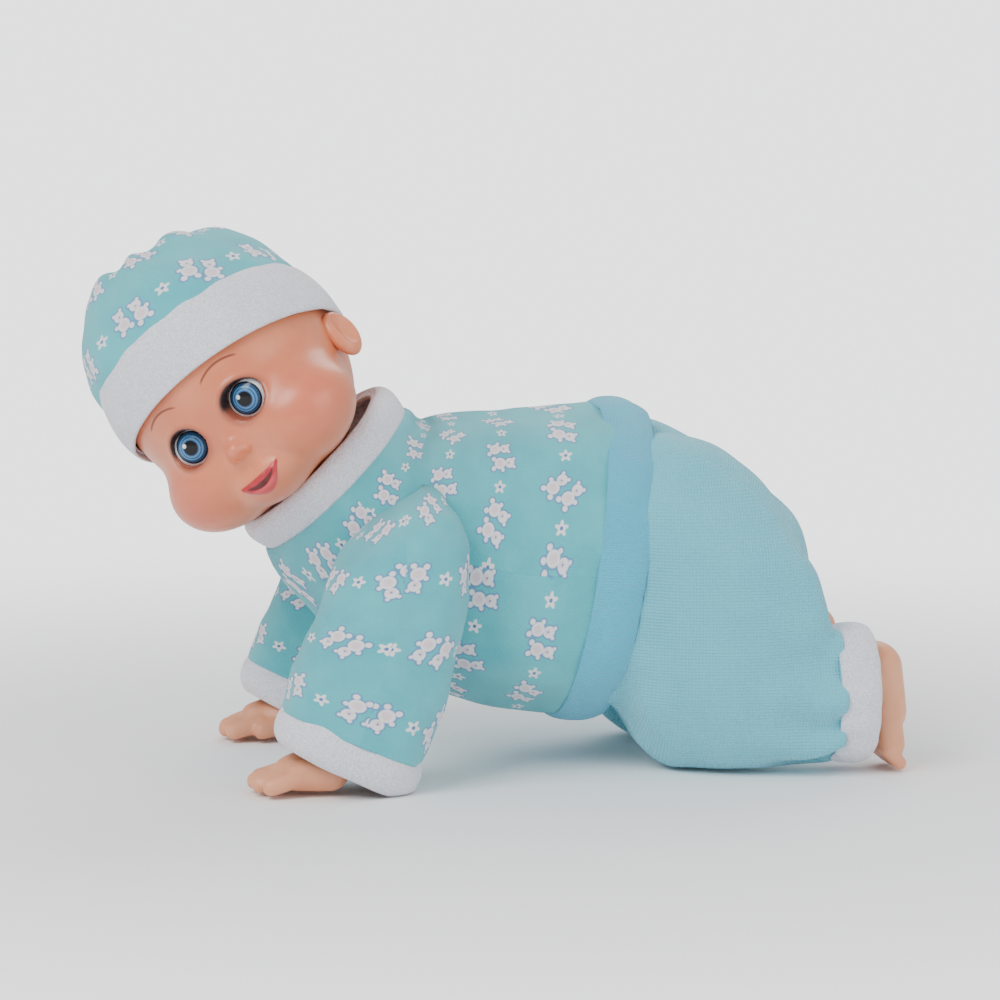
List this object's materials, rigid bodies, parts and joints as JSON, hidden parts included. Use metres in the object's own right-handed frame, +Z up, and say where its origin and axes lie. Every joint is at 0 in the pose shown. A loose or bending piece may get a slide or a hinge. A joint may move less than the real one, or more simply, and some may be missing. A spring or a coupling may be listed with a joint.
{
  "type": "crawling baby doll",
  "caption": "Battery-powered crawling baby doll on hands and knees: turning vinyl head with sleep eyes, geared swinging limbs, and a removable hat, shirt and pants.",
  "frame": {"origin": "under the middle of the doll's bounding box, on the surface it crawls on", "axes": "+Z up, -Y the way the doll crawls, +X the doll's left"},
  "size_m": [0.14, 0.28, 0.1859],
  "materials": {
    "head_vinyl": "soft vinyl with blushed cheeks",
    "limb_vinyl": "soft vinyl",
    "printed_fabric": "printed fleece",
    "plain_fabric": "plain fleece",
    "white_fabric": "white brushed fabric",
    "shell_plastic": "moulded",
    "gear_plastic": "moulded",
    "steel": "plated",
    "brass": "cut",
    "battery_wrap": "printed film",
    "battery_wrap_red": "printed film",
    "black_plastic": "moulded",
    "board_green": "lacquered board",
    "eye_plastic": "polished, painted iris"
  },
  "bodies": {
    "torso": {"torso_back_shell": "shell_plastic", "torso_belly_shell": "shell_plastic", "shell_screw_1": "steel", "shell_screw_2": "steel", "battery_1": "battery_wrap", "battery_2": "battery_wrap_red", "battery_3": "battery_wrap", "battery_contact_left": "steel", "battery_contact_right": "steel", "power_switch_body": "steel", "speaker": "black_plastic", "circuit_board": "board_green", "gearbox_left_plate": "shell_plastic", "gearbox_right_plate": "shell_plastic", "gearbox_spacer_1": "shell_plastic", "gearbox_spacer_2": "shell_plastic", "motor": "steel", "neck_post": "limb_vinyl", "shirt_body": "printed_fabric", "shirt_hem": "plain_fabric", "shirt_collar": "white_fabric", "pants_seat": "plain_fabric"},
    "head": {"head_shell": "head_vinyl", "hat_band": "white_fabric", "hat_crown": "printed_fabric"},
    "eyes": {"eyeball_left": "eye_plastic", "eyeball_right": "eye_plastic", "eye_axle": "steel", "eye_weight": "steel"},
    "crank": {"crank_axle": "steel", "crank_gear": "gear_plastic", "crank_disc_left": "gear_plastic", "crank_disc_right": "gear_plastic"},
    "second_gear": {"reduction_gear_2": "gear_plastic"},
    "first_gear": {"reduction_gear_1": "gear_plastic"},
    "pinion": {"motor_pinion": "brass"},
    "door": {"battery_door": "shell_plastic", "battery_door_screw": "steel"},
    "switch": {"power_switch_knob": "black_plastic"},
    "left_arm_body": {"left_arm": "limb_vinyl", "left_arm_lever": "gear_plastic", "left_sleeve": "printed_fabric", "left_sleeve_cuff": "white_fabric"},
    "right_arm_body": {"right_arm": "limb_vinyl", "right_arm_lever": "gear_plastic", "right_sleeve": "printed_fabric", "right_sleeve_cuff": "white_fabric"},
    "left_leg_body": {"left_leg": "limb_vinyl", "left_leg_lever": "gear_plastic", "left_pant_leg": "plain_fabric", "left_ankle_cuff": "white_fabric"},
    "right_leg_body": {"right_leg": "limb_vinyl", "right_leg_lever": "gear_plastic", "right_pant_leg": "plain_fabric", "right_ankle_cuff": "white_fabric"},
    "left_arm_rod_body": {"left_arm_rod": "steel"},
    "right_arm_rod_body": {"right_arm_rod": "steel"},
    "left_leg_rod_body": {"left_leg_rod": "steel"},
    "right_leg_rod_body": {"right_leg_rod": "steel"}
  },
  "joints": [
    {"name": "neck_turn", "type": "hinge", "parent": "torso", "child": "head", "pos_m": [0, -0.05051, 0.095], "axis": [0, -0.7071, 0.7071], "range_deg": [-135, 12]},
    {"name": "eye_roll", "type": "hinge", "parent": "head", "child": "eyes", "pos_m": [0.02795, -0.09611, 0.12431], "axis": [0.3811, 0.6538, 0.6538], "range_deg": [0, 75]},
    {"name": "left_arm_swing", "type": "hinge", "parent": "torso", "child": "left_arm_body", "pos_m": [0.0515, -0.04151, 0.072], "axis": [1, 0, 0], "range_deg": [-16, 16]},
    {"name": "right_arm_swing", "type": "hinge", "parent": "torso", "child": "right_arm_body", "pos_m": [-0.0515, -0.04151, 0.072], "axis": [1, 0, 0], "range_deg": [-16, 16]},
    {"name": "left_leg_swing", "type": "hinge", "parent": "torso", "child": "left_leg_body", "pos_m": [0.0485, 0.04749, 0.0585], "axis": [1, 0, 0], "range_deg": [-8.2, 8.2]},
    {"name": "right_leg_swing", "type": "hinge", "parent": "torso", "child": "right_leg_body", "pos_m": [-0.0485, 0.04749, 0.0585], "axis": [1, 0, 0], "range_deg": [-8.2, 8.2]},
    {"name": "left_arm_rod_pin", "type": "hinge", "parent": "left_arm_body", "child": "left_arm_rod_body", "pos_m": [0.0215, -0.04151, 0.0611], "axis": [1, 0, 0], "range_deg": [-16, 16]},
    {"name": "right_arm_rod_pin", "type": "hinge", "parent": "right_arm_body", "child": "right_arm_rod_body", "pos_m": [-0.0215, -0.04151, 0.0611], "axis": [1, 0, 0], "range_deg": [-16, 16]},
    {"name": "left_leg_rod_pin", "type": "hinge", "parent": "left_leg_body", "child": "left_leg_rod_body", "pos_m": [0.0241, 0.04749, 0.0797], "axis": [1, 0, 0], "range_deg": [-8.2, 8.2]},
    {"name": "right_leg_rod_pin", "type": "hinge", "parent": "right_leg_body", "child": "right_leg_rod_body", "pos_m": [-0.0241, 0.04749, 0.0797], "axis": [1, 0, 0], "range_deg": [-8.2, 8.2]},
    {"name": "crank_turn", "type": "hinge", "parent": "torso", "child": "crank", "pos_m": [0, 0.00299, 0.072], "axis": [1, 0, 0], "continuous": true},
    {"name": "second_gear_turn", "type": "hinge", "parent": "torso", "child": "second_gear", "pos_m": [0, 0.01381, 0.08108], "axis": [1, 0, 0], "continuous": true},
    {"name": "first_gear_turn", "type": "hinge", "parent": "torso", "child": "first_gear", "pos_m": [0, 0.00675, 0.0933], "axis": [1, 0, 0], "continuous": true},
    {"name": "pinion_turn", "type": "hinge", "parent": "torso", "child": "pinion", "pos_m": [0, -0.00737, 0.0933], "axis": [1, 0, 0], "continuous": true},
    {"name": "door_lift", "type": "slide", "parent": "torso", "child": "door", "axis": [0, 0, -1], "range_m": [0, 0.004]},
    {"name": "switch_slide", "type": "slide", "parent": "torso", "child": "switch", "axis": [1, 0, 0], "range_m": [0, 0.005]}
  ],
  "couplings": [
    {"joint": "right_arm_swing", "follows": "left_arm_swing", "ratio": -1},
    {"joint": "left_leg_swing", "follows": "left_arm_swing", "ratio": -0.509},
    {"joint": "right_leg_swing", "follows": "left_arm_swing", "ratio": 0.509},
    {"joint": "left_arm_rod_pin", "follows": "left_arm_swing", "ratio": -1},
    {"joint": "right_arm_rod_pin", "follows": "left_arm_swing", "ratio": 1},
    {"joint": "left_leg_rod_pin", "follows": "left_arm_swing", "ratio": 0.509},
    {"joint": "right_leg_rod_pin", "follows": "left_arm_swing", "ratio": -0.509},
    {"joint": "first_gear_turn", "follows": "pinion_turn", "ratio": -0.34615},
    {"joint": "second_gear_turn", "follows": "pinion_turn", "ratio": 0.11982},
    {"joint": "crank_turn", "follows": "pinion_turn", "ratio": -0.041477}
  ]
}
